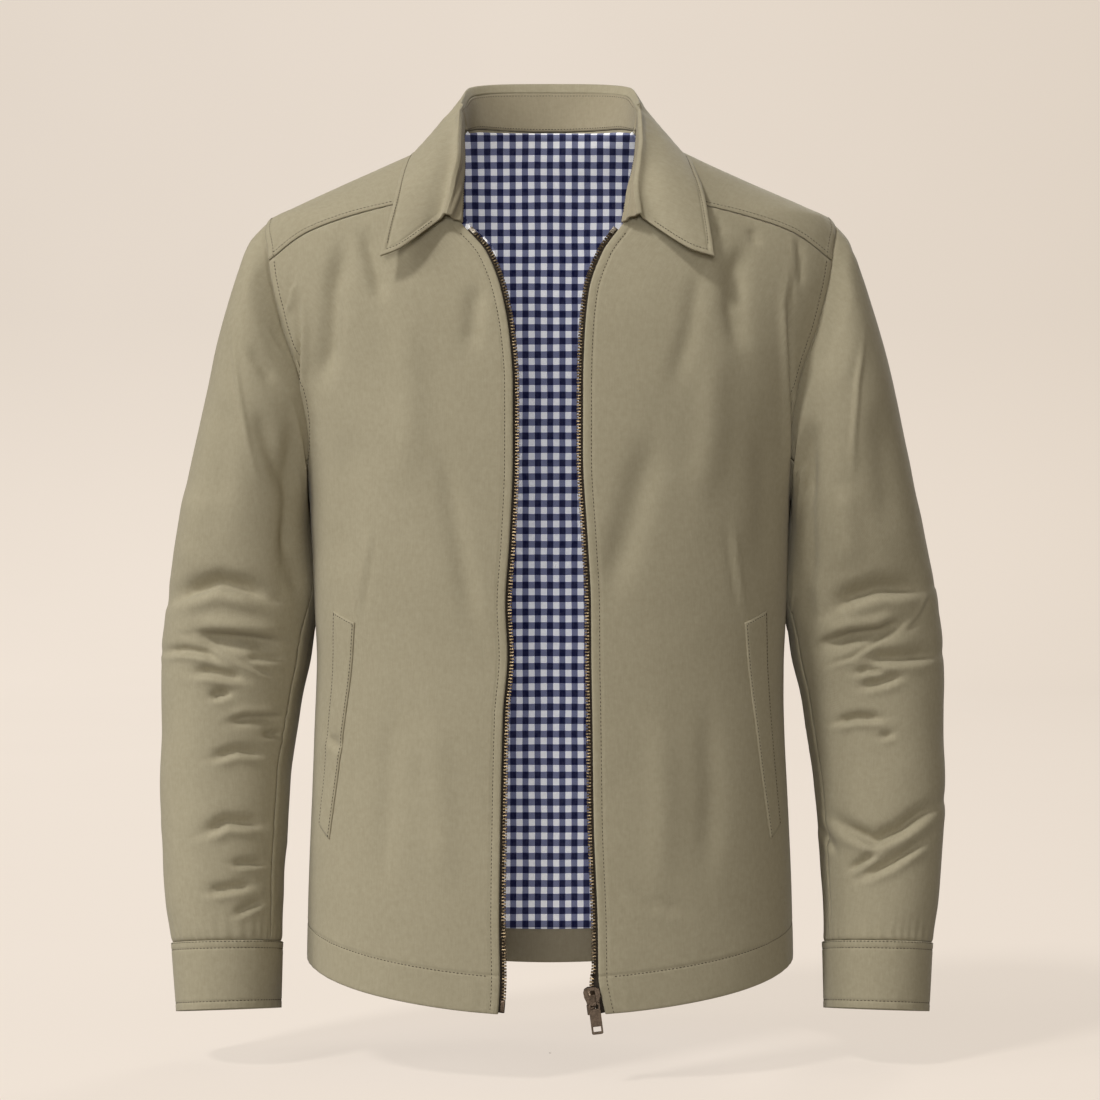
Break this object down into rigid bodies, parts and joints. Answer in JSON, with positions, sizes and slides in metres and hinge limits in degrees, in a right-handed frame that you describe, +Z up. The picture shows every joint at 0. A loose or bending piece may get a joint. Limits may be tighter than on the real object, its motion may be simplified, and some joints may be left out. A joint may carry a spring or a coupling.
{
  "type": "harrington jacket",
  "caption": "Hip-length zip-up jacket with a folded shirt collar, shoulder yoke, plain cuffs and a checked lining, hanging open and hollow as if worn.",
  "frame": {"origin": "middle of the neck and shoulder line, where the wearer's shoulders hold the jacket", "axes": "+Z up, +Y towards the jacket's back, -Y towards its open front, +X towards the wearer's left"},
  "size_m": [0.6376, 0.258, 0.7709],
  "materials": {
    "sage_cloth": "matt cotton twill",
    "check_lining": "navy and white gingham cotton",
    "dark_tape": "woven zip tape",
    "bronze": "dark antique plating"
  },
  "bodies": {
    "jacket": {"front_right": "sage_cloth", "front_left": "sage_cloth", "back": "sage_cloth", "yoke": "sage_cloth", "sleeve_top_right": "sage_cloth", "sleeve_top_left": "sage_cloth", "sleeve_under_right": "sage_cloth", "sleeve_under_left": "sage_cloth", "cuff_right": "sage_cloth", "cuff_left": "sage_cloth", "collar_stand": "sage_cloth", "collar_fall": "sage_cloth", "pocket_welt_right": "sage_cloth", "pocket_welt_left": "sage_cloth", "hem_facing": "sage_cloth", "lining_back": "check_lining", "lining_front_right": "check_lining", "lining_front_left": "check_lining", "zip_tape_right": "dark_tape", "zip_tape_left": "dark_tape", "zip_chain_right": "bronze", "zip_chain_left": "bronze", "top_stop_right": "bronze", "top_stop_left": "bronze", "insertion_pin": "bronze", "slider": "bronze", "retainer_box": "bronze"},
    "pull": {"pull_tab": "bronze"}
  },
  "joints": [
    {"name": "pull_tab_swing", "type": "hinge", "parent": "jacket", "child": "pull", "pos_m": [0.03356, -0.1259, -0.65927], "axis": [-0.9917, 0, -0.1288], "range_deg": [-8, 140]}
  ]
}
